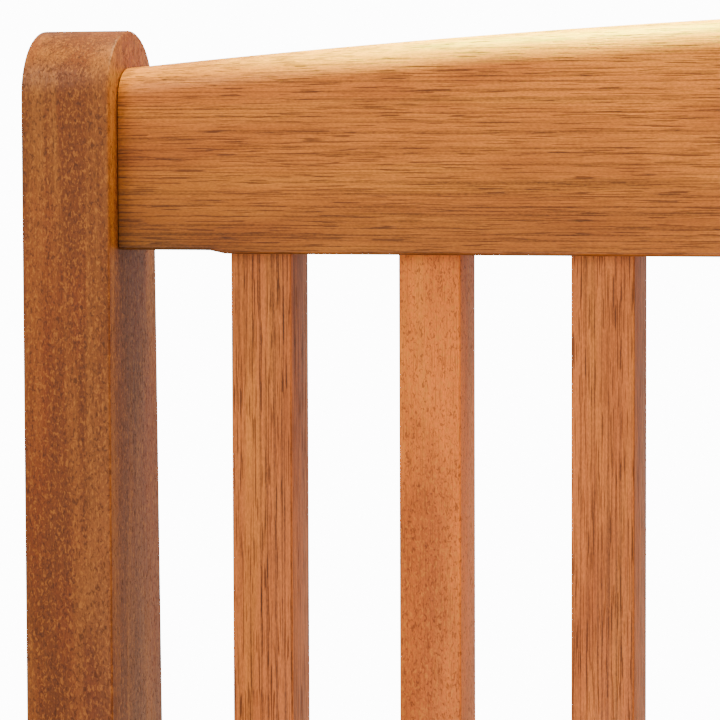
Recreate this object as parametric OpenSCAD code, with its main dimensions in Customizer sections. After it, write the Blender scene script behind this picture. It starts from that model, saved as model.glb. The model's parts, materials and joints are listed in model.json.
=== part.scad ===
// Porch swing: slatted acacia bench hung from two ceiling brackets by steel chains.
// Millimetres. +Z is up, +X is the sitter's left, and the bench faces -Y.
// The origin is on the ceiling face, midway between the two brackets.

/* [Bench] */
// Overall width over the back posts
bench_w = 1200; // [1120:5:1400]
// Half the distance between the front and rear eye bolts
eye_half_span = 215; // [200:1:230]
// Distance of the bench middle behind the brackets, so that it hangs level
bench_y = -104.5; // [-125:0.5:-80]
// Backward lean of the back in degrees
recline = 12; // [8:1:16]
// Backward slope of the seat in degrees
seat_rake = 3.5; // [2:0.5:5]

/* [Back posts] */
// Width of a back post seen from the front
post_w = 43.5; // [40:0.5:50]
// Depth of a back post just under its round top
post_d = 62; // [56:1:70]
// Extra depth for each millimetre down the post
post_taper = 0.0211; // [0:0.0001:0.03]
// Height of the post top above the eye bolts, along the post
post_top = 690; // [660:5:740]
// Length of the posts and front legs under the eye bolts
foot_drop = 25; // [20:1:40]

/* [Back] */
// Height of the top rail at its middle
rail_mid_h = 112.3; // [105:0.1:130]
// Height of the top rail at the posts
rail_end_h = 86.6; // [80:0.1:100]
// Thickness of the top rail
rail_t = 38; // [32:1:44]
// Height of the post top above the underside of the top rail
rail_under = 104.4; // [100:0.1:110]
// Distance of the rail's face behind the post's face
rail_setback = 11.7; // [8:0.1:14]
// Number of back slats
back_slats = 13; // [13]
// Width of a back slat
slat_w = 29.4; // [24:0.1:34]
// Depth of a back slat
slat_d = 26.7; // [22:0.1:28]
// Distance of the slats' faces behind the posts' faces
slat_setback = 17.5; // [15:0.1:20]
// How much wider the two end gaps are than the others
end_gap_extra = 2; // [0:0.5:6]
// Height of the lower back rail above the eye bolts, along the post
low_rail_z = 135; // [125:1:150]
// Height of the lower back rail
low_rail_h = 50; // [40:1:60]

/* [Seat and arms] */
// Height of the seat rails
seat_rail_h = 74; // [66:1:80]
// Thickness of the seat rails
seat_rail_t = 25; // [20:1:30]
// Height of the undersides of the seat rails above the eye bolts
seat_rail_z = 18; // [16:1:24]
// Depth of the front legs
leg_d = 60; // [50:1:70]
// Number of seat slats
seat_slats = 7; // [7]
// Width of the front seat slat
front_slat_w = 62; // [56:1:66]
// Width of the other seat slats
seat_slat_w = 54; // [50:0.5:56]
// Thickness of the seat slats
seat_slat_t = 18; // [15:1:22]
// Height of the top of the arms above the eye bolts
arm_top = 290; // [270:1:300]
// Width of the arms
arm_w = 62; // [55:1:70]
// Thickness of the arms
arm_t = 24; // [20:1:28]

/* [Suspension] */
// Distance of the chains outside the bench ends
chain_out = 28; // [27:0.5:34]
// Wire diameter of the chain
wire_d = 5; // [4:0.5:6]
// Inner width of a chain link
link_in_w = 10; // [9:0.5:12]
// Inner length of a link of the upper chains
link_in_l = 28.1; // [26:0.1:32]
// Number of links in each upper chain, an odd number
upper_links = 21; // [15:2:31]
// Number of links in each front lower chain, an even number
front_links = 30; // [28:2:32]
// Number of links in each rear lower chain, an even number
rear_links = 28; // [26:2:30]
// Height of the rings above the eye bolts
leg_rise = 800; // [780:1:820]

/* [Hidden] */

// Finishes
POST_WOOD = "#a5622c";
RAIL_WOOD = "#bd7835";
SLAT_WOOD = "#b56c30";
STEEL = "#a9adb0";
DARK_STEEL = "#5a5d60";

// Smoothness of round parts
ROUND = 48;
EDGE_ROUND = 24;
ARCH_ROUND = 2880;

// Small distance that keeps touching parts clear of each other
gap = 0.2;
// Clearance of tenons and screws in their holes
fit = 0.1;
// Overlap of cutting shapes past the face that they cut
past = 1;

// Joinery
tenon_l = 18;
top_tenon = [tenon_l, 18, 50];
low_tenon = [tenon_l, 14, 30];
slat_tenon = [18, 12, 15];
low_rail_t = 30;
low_rail_setback = 16;
edge_r = 3;
slat_edge_r = 1.5;
rail_top_r = 15;

// Main places
inner_x = bench_w / 2 - post_w;
rail_x = bench_w / 2 - post_w / 2;
chain_x = bench_w / 2 + chain_out;
sin_r = sin(recline);
cos_r = cos(recline);

// Depth of a post at height h along it
function post_depth(h) = post_d + post_taper * (post_top - h);
// Face of the posts at the height of the eye bolts, with the bolts midway through them
post_face_y = eye_half_span - post_depth(0) / 2;
// Face of the posts at height z
function back_y(z) = post_face_y + z * tan(recline);

leg_front = -eye_half_span - leg_d / 2;
leg_back = -eye_half_span + leg_d / 2;
rake_slope = tan(seat_rake);
// Top of the seat rails, where the slats lie, at distance y from the bench middle
function rail_top(y) = seat_rail_z + seat_rail_h - rake_slope * (y - leg_front);

// Front apron and rear seat rail
apron_y = leg_front + 10;
rear_rail_y = back_y(seat_rail_z) + 16;
bearer_lift = 12;

// Seat slats: the first lies between the front legs, the others run over the side rails
front_slat_y = leg_front - 5;
slat_run_start = leg_back + 4;
slat_run_end = back_y(seat_rail_z + seat_rail_h) - 7;
slat_step = (slat_run_end - slat_run_start - seat_slat_w) / (seat_slats - 2);
function seat_slat_y(i) = i == 0 ? front_slat_y : slat_run_start + (i - 1) * slat_step;
function seat_slat_width(i) = i == 0 ? front_slat_w : seat_slat_w;
function seat_slat_half(i) = i == 0 ? inner_x - 1 : bench_w / 2 - 2;
function seat_screw_x(i) = i == 0 ? [-450, 0, 450] : [-rail_x, 0, rail_x];
// A front slat's screws enter the apron, so they stand over its middle
function seat_screw_y(i) = i == 0 ? apron_y + seat_rail_t / 2 - front_slat_y : seat_slat_w / 2;

// Back slats: equal gaps, with the two end gaps a little wider
slat_gap = (2 * inner_x - back_slats * slat_w - 2 * end_gap_extra) / (back_slats + 1);
slat_pitch = slat_w + slat_gap;
function back_slat_x(i) = (i - (back_slats + 1) / 2) * slat_pitch;
slat_bottom = low_rail_z + low_rail_h;
slat_top = post_top - rail_under;

// Arch of the top rail
arch_rise = rail_mid_h - rail_end_h;
arch_r = (inner_x * inner_x + arch_rise * arch_rise) / (2 * arch_rise);
arch_angle = 2 * asin((inner_x + tenon_l) / arch_r) + 1;

// Arms
arm_outer = bench_w / 2;
arm_front = leg_front - 22;
arm_corner = 20;

// Fasteners
screw_r = 2;
screw_head_r = 4;
screw_head_l = 2.4;
screw_l = 40;
arm_screw_l = 70;
arm_screw_in = 20;
m6_r = 3;
m6_head_r = 8;
m6_head_l = 4;
bolt_in = 38;
barrel_r = 5;
barrel_l = 18;
barrel_at = 28;
bolt_z = seat_rail_z + 30;

// Eye bolts
eye_r = 12;
eye_wire_r = 4;
m8_nut_r = 7.5;
m8_nut_l = 6.5;
m8_washer_r = 9;
m8_washer_t = 1.6;
eye_shank_out = 14;

// Hangers: a plate with two ears, a bolt through them and the swing link on it
plate_w = 50;
plate_l = 110;
plate_t = 5;
plate_r = 8;
plate_hole_r = 4.5;
plate_hole_span = 80;
ear_x = 13;
ear_t = 5;
ear_r = 14;
hanger_pin_z = -34;
hanger_pin_r = 5;
m10_r = 9.2;
m10_head_l = 6.4;
m10_nut_l = 8;
pin_spare = 4;

// Swing links
swing_wire_r = 3;
swing_in_w = 15;
swing_in_l = 44;

// Chains, from the top down
wire_r = wire_d / 2;
ring_r = 22;
ring_wire_r = 4;
sway_z = hanger_pin_z + hanger_pin_r + gap - swing_in_l - swing_wire_r;
upper_pitch = link_in_l - gap;
upper_first_z = sway_z + swing_wire_r + gap - link_in_l / 2;
upper_last_z = upper_first_z - (upper_links - 1) * upper_pitch;
ring_z = upper_last_z - link_in_l / 2 + gap + ring_wire_r - ring_r;
eye_z = ring_z - leg_rise;

// ---------- shared shapes ----------

// Rectangle with round corners, centred
module rounded_rect(w, h, r) {
    square([w - 2 * r, h], center = true);
    square([w, h - 2 * r], center = true);
    for (x = [-1, 1], y = [-1, 1])
        translate([x * (w / 2 - r), y * (h / 2 - r)]) circle(r, $fn = EDGE_ROUND);
}

// Bar along X with round long edges; section w along Y and h along Z, centred
module bar_x(l, w, h, r) {
    rotate([90, 0, 90]) linear_extrude(l, center = true) rounded_rect(w, h, r);
}

// Side outline drawn as [y, z] points, extruded along X about x
module side_plate(points, x, t) {
    translate([x, 0, 0]) rotate([90, 0, 90]) linear_extrude(t, center = true) polygon(points);
}

// Cylinder along X from x0 to x1
module rod_x(x0, x1, r) {
    translate([x0, 0, 0]) rotate([0, 90, 0]) cylinder(h = x1 - x0, r = r, $fn = ROUND);
}

// Full ring in the XZ plane
module ring(r, wire) {
    rotate([90, 0, 0]) rotate_extrude($fn = ROUND) translate([r, 0]) circle(wire, $fn = EDGE_ROUND);
}

// Oval link standing along Z in the XZ plane, centred
module oval_link(in_l, in_w, wire) {
    bend = in_w / 2 + wire;
    straight = in_l - in_w;
    for (side = [0, 180])
        rotate([0, side, 0]) {
            translate([0, 0, straight / 2]) rotate([90, 0, 0])
                rotate_extrude(angle = 180, $fn = ROUND) translate([bend, 0]) circle(wire, $fn = EDGE_ROUND);
            translate([bend, 0, -straight / 2]) cylinder(h = straight, r = wire, $fn = EDGE_ROUND);
        }
}

// Places its children on the bench, whose height zero is at the eye bolts
module on_bench() {
    translate([0, bench_y, eye_z]) children();
}

// Places its children on the back: Y is depth behind the post face, Z runs up the post
module on_back() {
    translate([0, post_face_y, 0]) rotate([-recline, 0, 0]) children();
}

// Draws its children and their mirror image at the other end of the bench
module both_ends() {
    children();
    mirror([1, 0, 0]) children();
}

// ---------- back ----------

// Blank of a post at the left end: straight face, back growing deeper downwards, round top
module post_blank() {
    front_low = -foot_drop / cos_r;
    low_d = post_depth(front_low);
    round_z = post_top - post_d / 2;
    translate([-rail_x, 0, 0]) rotate([90, 0, 90]) linear_extrude(post_w, center = true) {
        polygon([
            [0, front_low],
            [low_d, (low_d * sin_r - foot_drop) / cos_r],
            [post_d, round_z],
            [0, round_z]]);
        translate([post_d / 2, round_z]) circle(post_d / 2, $fn = ROUND * 2);
    }
}

module back_post() {
    difference() {
        on_back() difference() {
            post_blank();
            translate([-inner_x, rail_setback + rail_t / 2, post_top - rail_under + rail_end_h / 2])
                cube(2 * [top_tenon.x, 0, 0] + [2 * fit, top_tenon.y + 2 * fit, top_tenon.z + 2 * fit],
                     center = true);
            translate([-inner_x, low_rail_setback + low_rail_t / 2, low_rail_z + low_rail_h / 2])
                cube(2 * [low_tenon.x, 0, 0] + [2 * fit, low_tenon.y + 2 * fit, low_tenon.z + 2 * fit],
                     center = true);
        }
        translate([0, eye_half_span, 0]) rod_x(-bench_w / 2 - past, -inner_x + past, eye_wire_r + fit);
        translate([0, rear_rail_y + seat_rail_t / 2, bolt_z])
            rod_x(-bench_w / 2 - past, -inner_x + past, m6_r + fit);
        arm_rear_screw(fit);
    }
}

module left_back_post() color(POST_WOOD) on_bench() back_post();
module right_back_post() color(POST_WOOD) on_bench() mirror([1, 0, 0]) back_post();

// Top rail: round-edged section swept along the arch, cut flat underneath, with end tenons
module top_rail() color(RAIL_WOOD) on_bench() on_back() {
    under = post_top - rail_under;
    depth = rail_setback + rail_t / 2;
    sweep_h = rail_mid_h + 40;
    translate([0, depth, 0]) difference() {
        intersection() {
            translate([0, 0, under + rail_mid_h - arch_r]) rotate([90, 0, 0])
                rotate([0, 0, 90 - arch_angle / 2]) rotate_extrude(angle = arch_angle, $fn = ARCH_ROUND)
                    translate([arch_r - sweep_h / 2, 0]) rounded_rect(sweep_h, rail_t, rail_top_r);
            translate([0, 0, under + rail_mid_h])
                cube([2 * inner_x, 2 * rail_t, 2 * rail_mid_h], center = true);
        }
        for (i = [1:back_slats])
            translate([back_slat_x(i), slat_setback + slat_d / 2 - depth, under])
                cube([slat_tenon.x, slat_tenon.y, 2 * slat_tenon.z] + 2 * [fit, fit, fit], center = true);
    }
    for (end = [-1, 1])
        translate([end * (inner_x + top_tenon.x / 2 - past / 2), depth, under + rail_end_h / 2])
            cube(top_tenon + [past, 0, 0], center = true);
}

module lower_back_rail() color(RAIL_WOOD) on_bench() on_back() {
    depth = low_rail_setback + low_rail_t / 2;
    difference() {
        translate([0, depth, low_rail_z + low_rail_h / 2]) bar_x(2 * inner_x, low_rail_t, low_rail_h, edge_r);
        for (i = [1:back_slats])
            translate([back_slat_x(i), slat_setback + slat_d / 2, slat_bottom])
                cube([slat_tenon.x, slat_tenon.y, 2 * slat_tenon.z] + 2 * [fit, fit, fit], center = true);
    }
    for (end = [-1, 1])
        translate([end * (inner_x + low_tenon.x / 2 - past / 2), depth, low_rail_z + low_rail_h / 2])
            cube(low_tenon + [past, 0, 0], center = true);
}

// Upright slat with a tenon at each end
module back_slat(i) color(SLAT_WOOD) on_bench() on_back()
    translate([back_slat_x(i), slat_setback + slat_d / 2, 0]) {
        translate([0, 0, slat_bottom]) linear_extrude(slat_top - slat_bottom)
            rounded_rect(slat_w, slat_d, slat_edge_r);
        translate([0, 0, (slat_top + slat_bottom) / 2])
            cube([slat_tenon.x, slat_tenon.y, slat_top - slat_bottom + 2 * slat_tenon.z], center = true);
    }

// ---------- seat and arms ----------

module front_leg() {
    difference() {
        translate([-rail_x, -eye_half_span, (arm_top - arm_t - foot_drop) / 2])
            linear_extrude(arm_top - arm_t + foot_drop, center = true) rounded_rect(post_w, leg_d, edge_r);
        translate([0, -eye_half_span, 0]) rod_x(-bench_w / 2 - past, -inner_x + past, eye_wire_r + fit);
        translate([0, apron_y + seat_rail_t / 2, bolt_z])
            rod_x(-bench_w / 2 - past, -inner_x + past, m6_r + fit);
        arm_front_screw(fit);
    }
}

module left_front_leg() color(POST_WOOD) on_bench() front_leg();
module right_front_leg() color(POST_WOOD) on_bench() mirror([1, 0, 0]) front_leg();

// Arm at the left end: round-cornered board, its rear end cut to the lean of the post
module arm() {
    arm_l = 2 * arm_top;
    difference() {
        intersection() {
            translate([-arm_outer + arm_w / 2, arm_front + arm_l / 2, arm_top - arm_t])
                linear_extrude(arm_t) rounded_rect(arm_w, arm_l, arm_corner);
            side_plate([
                [arm_front - past, arm_top - arm_t],
                [back_y(arm_top - arm_t), arm_top - arm_t],
                [back_y(arm_top), arm_top],
                [arm_front - past, arm_top]], -arm_outer + arm_w / 2, arm_w + 2);
        }
        arm_front_screw(fit);
        arm_rear_screw(fit);
    }
}

module left_arm() color(RAIL_WOOD) on_bench() arm();
module right_arm() color(RAIL_WOOD) on_bench() mirror([1, 0, 0]) arm();

// Side rail between the front leg and the back post, sloping on top
module side_rail() {
    rail_back = back_y(seat_rail_z);
    rear_top = (rail_top(0) - rake_slope * post_face_y) / (1 + rake_slope * tan(recline));
    difference() {
        side_plate([
            [leg_back, seat_rail_z],
            [rail_back, seat_rail_z],
            [back_y(rear_top), rear_top],
            [leg_back, rail_top(leg_back)]], -rail_x, seat_rail_t);
        for (i = [1:seat_slats - 1]) seat_screw(i, -rail_x, fit);
    }
}

module left_side_rail() color(RAIL_WOOD) on_bench() side_rail();
module right_side_rail() color(RAIL_WOOD) on_bench() mirror([1, 0, 0]) side_rail();

// Cross rail between the ends, with the holes of the frame bolts and barrel nuts
module cross_rail(y) {
    difference() {
        side_plate([
            [y, seat_rail_z],
            [y + seat_rail_t, seat_rail_z],
            [y + seat_rail_t, rail_top(y + seat_rail_t)],
            [y, rail_top(y)]], 0, 2 * inner_x);
        both_ends() {
            translate([0, y + seat_rail_t / 2, bolt_z]) rod_x(-inner_x - past, bolt_in - inner_x, m6_r + fit);
            translate([barrel_at - inner_x, y + seat_rail_t / 2, bolt_z - barrel_l / 2 - fit])
                cylinder(h = barrel_l + 2 * fit, r = barrel_r + fit, $fn = ROUND);
        }
    }
}

module front_apron() color(RAIL_WOOD) on_bench() difference() {
    cross_rail(apron_y);
    for (x = seat_screw_x(0)) seat_screw(0, x, fit);
}

module rear_seat_rail() color(RAIL_WOOD) on_bench() cross_rail(rear_rail_y);

// Middle bearer under the seat slats, from the apron to the rear rail
module seat_bearer() color(RAIL_WOOD) on_bench() {
    start = apron_y + seat_rail_t;
    difference() {
        side_plate([
            [start, seat_rail_z + bearer_lift],
            [rear_rail_y, seat_rail_z + bearer_lift],
            [rear_rail_y, rail_top(rear_rail_y)],
            [start, rail_top(start)]], 0, seat_rail_t);
        for (i = [1:seat_slats - 1]) seat_screw(i, 0, fit);
    }
}

// Places its children at the front lower edge of seat slat i, with Y across the slat
module on_slat(i) {
    y = seat_slat_y(i);
    translate([0, y, rail_top(y)]) rotate([-seat_rake, 0, 0]) children();
}

module seat_slat(i) color(SLAT_WOOD) on_bench() difference() {
    on_slat(i) translate([0, seat_slat_width(i) / 2, seat_slat_t / 2])
        bar_x(2 * seat_slat_half(i), seat_slat_width(i), seat_slat_t, edge_r);
    for (x = seat_screw_x(i)) seat_screw(i, x, fit);
}

// ---------- fasteners ----------

// Countersunk screw pointing down from height zero, grown by extra for its hole
module countersunk(l, extra) {
    translate([0, 0, -l - extra]) cylinder(h = l + 2 * extra, r = screw_r + extra, $fn = EDGE_ROUND);
    translate([0, 0, -screw_head_l])
        cylinder(h = screw_head_l + extra, r1 = screw_r + extra, r2 = screw_head_r + extra, $fn = EDGE_ROUND);
}

// Screw of seat slat i at x
module seat_screw(i, x, extra) {
    on_slat(i) translate([x, seat_screw_y(i), seat_slat_t]) countersunk(screw_l, extra);
}

module seat_screws() color(DARK_STEEL) on_bench()
    for (i = [0:seat_slats - 1])
        for (x = seat_screw_x(i)) seat_screw(i, x, 0);

// Screw down through the arm into the front leg
module arm_front_screw(extra) {
    translate([-rail_x, -eye_half_span, arm_top]) countersunk(arm_screw_l, extra);
}

// Screw from behind the post into the end of the arm, sunk into the post
module arm_rear_screw(extra) {
    z = arm_top - arm_t / 2;
    translate([-rail_x, back_y(z) + post_depth(z) - arm_screw_in, z]) rotate([-90, 0, 0])
        countersunk(post_depth(z) + arm_screw_in, extra);
    if (extra > 0)
        translate([-rail_x, back_y(z) + post_depth(z) - arm_screw_in, z]) rotate([-90, 0, 0])
            cylinder(h = 2 * arm_screw_in, r = screw_head_r + 1, $fn = EDGE_ROUND);
}

module arm_screws() color(DARK_STEEL) on_bench() both_ends() {
    arm_front_screw(0);
    arm_rear_screw(0);
}

// Bolt through an end piece into a cross rail, with its flat round head outside
module frame_bolt(y) {
    translate([0, y + seat_rail_t / 2, bolt_z]) {
        rod_x(-bench_w / 2 - past, bolt_in - inner_x - fit, m6_r);
        rod_x(-bench_w / 2 - m6_head_l, -bench_w / 2, m6_head_r);
    }
}

module frame_bolts() color(STEEL) on_bench() both_ends() {
    frame_bolt(apron_y);
    frame_bolt(rear_rail_y);
}

module frame_barrel_nuts() color(STEEL) on_bench() both_ends()
    for (y = [apron_y, rear_rail_y])
        translate([0, y + seat_rail_t / 2, bolt_z]) difference() {
            translate([barrel_at - inner_x, 0, -barrel_l / 2]) cylinder(h = barrel_l, r = barrel_r, $fn = ROUND);
            rod_x(-inner_x, bolt_in - inner_x, m6_r + fit);
        }

// Eye bolt at the left end: a ring in the XZ plane on a threaded shank
module eye_bolt() {
    ring_bolt_end = -inner_x + eye_shank_out;
    translate([-chain_x, 0, 0]) ring(eye_r, eye_wire_r);
    rod_x(-chain_x + eye_r, ring_bolt_end, eye_wire_r);
}

// Draws its children at the front and rear eye bolts of both ends
module at_eyes() {
    for (side = [-1, 1])
        translate([0, side * eye_half_span, 0]) both_ends() children();
}

module eye_bolts() color(STEEL) on_bench() at_eyes() eye_bolt();

// Hexagonal nut or washer along X from x0, with its hole
module drilled_disc(x0, l, r, hole_r, sides) {
    difference() {
        translate([x0, 0, 0]) rotate([0, 90, 0]) cylinder(h = l, r = r, $fn = sides);
        rod_x(x0 - past, x0 + l + past, hole_r);
    }
}

module eye_bolt_nuts() color(STEEL) on_bench() at_eyes()
    for (x0 = [-bench_w / 2 - m8_washer_t - m8_nut_l, -inner_x + m8_washer_t])
        drilled_disc(x0, m8_nut_l, m8_nut_r, eye_wire_r + fit, 6);

module eye_bolt_washers() color(STEEL) on_bench() at_eyes()
    for (x0 = [-bench_w / 2 - m8_washer_t, -inner_x])
        drilled_disc(x0, m8_washer_t, m8_washer_r, eye_wire_r + fit, ROUND);

// ---------- chains ----------

// Straight chain of n links down from the first link's centre; every second link is turned
module chain(n, pitch, first_turn) {
    for (i = [0:n - 1])
        translate([0, 0, -i * pitch]) rotate([0, 0, first_turn + 90 * (i % 2)])
            oval_link(pitch + gap, link_in_w, wire_r);
}

// Lower chain of n links at the left end, from the ring to the eye bolt y behind the bench middle
module leg_chain(n, y) {
    run_y = bench_y + y;
    run_z = leg_rise - eye_r;
    run = sqrt(run_y * run_y + run_z * run_z);
    pitch = (run - ring_r + eye_wire_r + ring_wire_r + gap) / n;
    first = ring_r - ring_wire_r - gap + (pitch + gap) / 2;
    translate([-chain_x, 0, ring_z]) rotate([atan2(run_y, run_z), 0, 0]) translate([0, 0, -first])
        chain(n, pitch, 0);
}

module upper_chain() {
    translate([-chain_x, 0, upper_first_z]) chain(upper_links, upper_pitch, 0);
}

module chain_ring() {
    translate([-chain_x, 0, ring_z]) rotate([0, 0, 90]) ring(ring_r, ring_wire_r);
}

module left_front_chain() color(STEEL) leg_chain(front_links, -eye_half_span);
module left_rear_chain() color(STEEL) leg_chain(rear_links, eye_half_span);
module left_upper_chain() color(STEEL) upper_chain();
module left_ring() color(STEEL) chain_ring();
module right_front_chain() color(STEEL) mirror([1, 0, 0]) leg_chain(front_links, -eye_half_span);
module right_rear_chain() color(STEEL) mirror([1, 0, 0]) leg_chain(rear_links, eye_half_span);
module right_upper_chain() color(STEEL) mirror([1, 0, 0]) upper_chain();
module right_ring() color(STEEL) mirror([1, 0, 0]) chain_ring();

// ---------- hangers ----------

// Oval link that swings on the hanger bolt, in the YZ plane
module swing_link() {
    translate([-chain_x, 0, hanger_pin_z + hanger_pin_r + gap - swing_in_l / 2]) rotate([0, 0, 90])
        oval_link(swing_in_l, swing_in_w, swing_wire_r);
}

module left_swing_link() color(STEEL) swing_link();
module right_swing_link() color(STEEL) mirror([1, 0, 0]) swing_link();

// Ceiling plate with two screw holes and two ears that hold the hanger bolt
module hanger() {
    translate([-chain_x, 0, 0]) difference() {
        union() {
            translate([0, 0, -plate_t]) linear_extrude(plate_t) rounded_rect(plate_w, plate_l, plate_r);
            for (side = [-1, 1])
                translate([side * ear_x, 0, 0]) rotate([90, 0, 90]) linear_extrude(ear_t, center = true) {
                    translate([0, hanger_pin_z]) circle(ear_r, $fn = ROUND);
                    translate([-ear_r, hanger_pin_z]) square([2 * ear_r, -hanger_pin_z - plate_t / 2]);
                }
        }
        for (side = [-1, 1])
            translate([0, side * plate_hole_span / 2, -plate_t - past])
                cylinder(h = plate_t + 2 * past, r = plate_hole_r, $fn = ROUND);
        translate([0, 0, hanger_pin_z]) rod_x(-plate_w, plate_w, hanger_pin_r + fit);
    }
}

module left_hanger() color(DARK_STEEL) hanger();
module right_hanger() color(DARK_STEEL) mirror([1, 0, 0]) hanger();

// Places its children on the hanger bolt axis of the left hanger
module on_hanger_pin() {
    translate([-chain_x, 0, hanger_pin_z]) children();
}

ear_face = ear_x + ear_t / 2;

module hanger_bolts() color(STEEL) both_ends() on_hanger_pin() {
    rod_x(-ear_face - m10_head_l / 2, ear_face + m10_nut_l + pin_spare, hanger_pin_r);
    translate([-ear_face - m10_head_l, 0, 0]) rotate([0, 90, 0]) cylinder(h = m10_head_l, r = m10_r, $fn = 6);
}

module hanger_nuts() color(STEEL) both_ends() on_hanger_pin()
    drilled_disc(ear_face, m10_nut_l, m10_r, hanger_pin_r + fit, 6);

left_back_post();
right_back_post();
top_rail();
lower_back_rail();
back_slat(1);  // back_slat_1
back_slat(2);  // back_slat_2
back_slat(3);  // back_slat_3
back_slat(4);  // back_slat_4
back_slat(5);  // back_slat_5
back_slat(6);  // back_slat_6
back_slat(7);  // back_slat_7
back_slat(8);  // back_slat_8
back_slat(9);  // back_slat_9
back_slat(10);  // back_slat_10
back_slat(11);  // back_slat_11
back_slat(12);  // back_slat_12
back_slat(13);  // back_slat_13
left_front_leg();
right_front_leg();
left_arm();
right_arm();
left_side_rail();
right_side_rail();
front_apron();
rear_seat_rail();
seat_bearer();
seat_slat(0);  // seat_slat_1
seat_slat(1);  // seat_slat_2
seat_slat(2);  // seat_slat_3
seat_slat(3);  // seat_slat_4
seat_slat(4);  // seat_slat_5
seat_slat(5);  // seat_slat_6
seat_slat(6);  // seat_slat_7
seat_screws();
arm_screws();
frame_bolts();
frame_barrel_nuts();
eye_bolts();
eye_bolt_nuts();
eye_bolt_washers();
left_front_chain();
left_rear_chain();
left_upper_chain();
left_ring();
right_front_chain();
right_rear_chain();
right_upper_chain();
right_ring();
left_swing_link();
right_swing_link();
left_hanger();
right_hanger();
hanger_bolts();
hanger_nuts();
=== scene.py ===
"""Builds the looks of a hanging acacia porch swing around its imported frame."""

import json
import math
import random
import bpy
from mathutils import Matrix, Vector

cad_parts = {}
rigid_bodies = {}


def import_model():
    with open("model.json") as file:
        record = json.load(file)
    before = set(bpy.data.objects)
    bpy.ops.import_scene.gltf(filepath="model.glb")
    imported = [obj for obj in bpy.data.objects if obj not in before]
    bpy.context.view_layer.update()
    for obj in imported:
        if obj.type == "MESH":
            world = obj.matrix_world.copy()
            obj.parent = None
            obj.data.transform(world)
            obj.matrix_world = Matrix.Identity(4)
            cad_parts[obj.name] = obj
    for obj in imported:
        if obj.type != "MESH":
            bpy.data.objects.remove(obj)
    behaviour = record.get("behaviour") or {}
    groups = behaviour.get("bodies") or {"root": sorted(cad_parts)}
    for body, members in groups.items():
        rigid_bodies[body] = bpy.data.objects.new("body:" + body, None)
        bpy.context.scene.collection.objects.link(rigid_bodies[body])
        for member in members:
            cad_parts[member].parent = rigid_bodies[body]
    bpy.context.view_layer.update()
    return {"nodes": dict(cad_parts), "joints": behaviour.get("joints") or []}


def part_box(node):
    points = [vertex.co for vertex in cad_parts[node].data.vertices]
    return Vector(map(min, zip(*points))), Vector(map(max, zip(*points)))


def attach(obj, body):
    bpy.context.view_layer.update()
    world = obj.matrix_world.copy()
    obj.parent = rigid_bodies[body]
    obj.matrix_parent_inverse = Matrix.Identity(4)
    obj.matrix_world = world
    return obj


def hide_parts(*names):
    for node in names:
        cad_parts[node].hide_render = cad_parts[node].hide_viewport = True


bl_info = {
    "name": "Porch swing",
    "version": (1, 0, 0),
    "blender": (4, 5, 0),
    "location": "View3D > Sidebar > Porch swing",
    "description": "Builds an acacia porch swing with its chains and ceiling brackets",
    "category": "Add Mesh",
}

import bmesh
import bpy
from mathutils import Matrix, Vector

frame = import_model()

MM = 0.001
HERE = Matrix.Identity(4)
MATHS = "ShaderNodeMath"
MIX = "ShaderNodeMix"
SPAN = "ShaderNodeMapRange"  # inputs: 0 the value, 1 and 2 its range, 3 and 4 the range that it becomes
SIDES = ("left", "right")
LINKS = {"upper": 21, "front": 30, "rear": 28}
POST_TAPER = 0.0211  # how much deeper a back post gets for each metre down
RAIL_LIGHT = "lit by the rail's strip light"
JOINTS = {joint["name"]: joint for joint in frame["joints"]}


# ---------- sizes that follow from the frame ----------

def node_box(node):
    """Lowest and highest corner of a CAD node."""
    low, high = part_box(node)
    return Vector(low), Vector(high)


def node_size(node):
    low, high = node_box(node)
    return high - low


def joint_point(name):
    return Vector(JOINTS[name]["pos_m"])


POST_LOW, POST_HIGH = node_box("left_back_post")
LEG_LOW, LEG_HIGH = node_box("left_front_leg")
APRON_LOW, APRON_HIGH = node_box("front_apron")
ARM_LOW, ARM_HIGH = node_box("left_arm")
EYE = joint_point("left_eye_turn")
PIN = joint_point("left_swing")
SWAY = joint_point("left_sway")
BENCH_HALF = -POST_LOW.x
INNER_HALF = -POST_HIGH.x
POST_WIDTH = POST_HIGH.x - POST_LOW.x
CHAIN_X = -EYE.x
SLAT_COUNT = sum(node.startswith("back_slat_") for node in frame["nodes"])
SEAT_COUNT = sum(node.startswith("seat_slat_") for node in frame["nodes"])
EYE_HALF_SPAN = (node_size("eye_bolts").y - 8 * MM) / 2


# ---------- settings ----------

def length(text, about, default):
    return bpy.props.FloatProperty(
        name=text, description=about, default=default, precision=5, unit="LENGTH", subtype="DISTANCE")


def angle(text, about, degrees):
    return bpy.props.FloatProperty(
        name=text, description=about, default=math.radians(degrees), unit="ROTATION", subtype="ANGLE")


def colour(text, about, hex_value):
    return bpy.props.FloatVectorProperty(
        name=text, description=about, default=srgb(hex_value)[:3], subtype="COLOR", size=3, min=0, max=1)


def srgb(hex_value):
    """Turns an sRGB hex colour such as #c57132 to linear, with an alpha of 1."""
    parts = [int(hex_value[i:i + 2], 16) / 255 for i in (1, 3, 5)]
    return (*[p / 12.92 if p <= 0.04045 else ((p + 0.055) / 1.055) ** 2.4 for p in parts], 1.0)


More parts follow.
